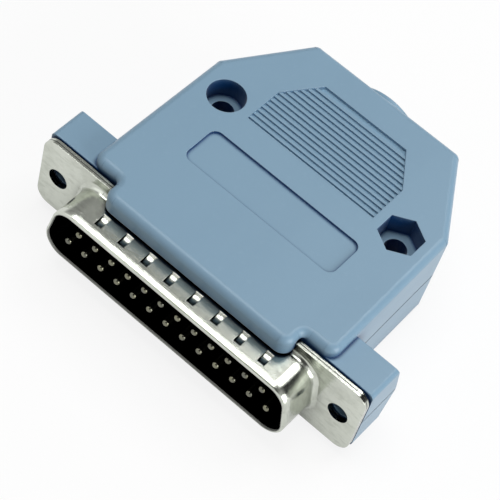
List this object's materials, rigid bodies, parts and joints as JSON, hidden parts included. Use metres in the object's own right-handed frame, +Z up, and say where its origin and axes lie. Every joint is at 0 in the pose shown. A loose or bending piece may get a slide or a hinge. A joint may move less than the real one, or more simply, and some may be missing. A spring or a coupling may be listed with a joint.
{
  "type": "d-sub connector",
  "caption": "Cable plug with a D-shaped metal mating shell, two rows of pins and a two-part moulded hood with a rear cable outlet.",
  "frame": {"origin": "centre of the flange's front face, midway between the two jackscrew holes", "axes": "+X along the connector's width, +Y back from the mating end towards the cable outlet, +Z up; it lies on its lower half as it would on a bench"},
  "size_m": [0.053, 0.0441, 0.0158],
  "materials": {
    "hood": "satin moulded plastic, grey blue",
    "shell": "tin plated steel, satin",
    "insulator": "glass filled thermoplastic, black",
    "contact": "flash gold over nickel"
  },
  "bodies": {
    "root": {"hood_upper": "hood", "hood_lower": "hood", "front_shell": "shell", "rear_shell": "shell", "front_insulator": "insulator", "rear_insulator": "insulator", "contact_01": "contact", "contact_02": "contact", "contact_03": "contact", "contact_04": "contact", "contact_05": "contact", "contact_06": "contact", "contact_07": "contact", "contact_08": "contact", "contact_09": "contact", "contact_10": "contact", "contact_11": "contact", "contact_12": "contact", "contact_13": "contact", "contact_14": "contact", "contact_15": "contact", "contact_16": "contact", "contact_17": "contact", "contact_18": "contact", "contact_19": "contact", "contact_20": "contact", "contact_21": "contact", "contact_22": "contact", "contact_23": "contact", "contact_24": "contact", "contact_25": "contact"}
  },
  "joints": []
}
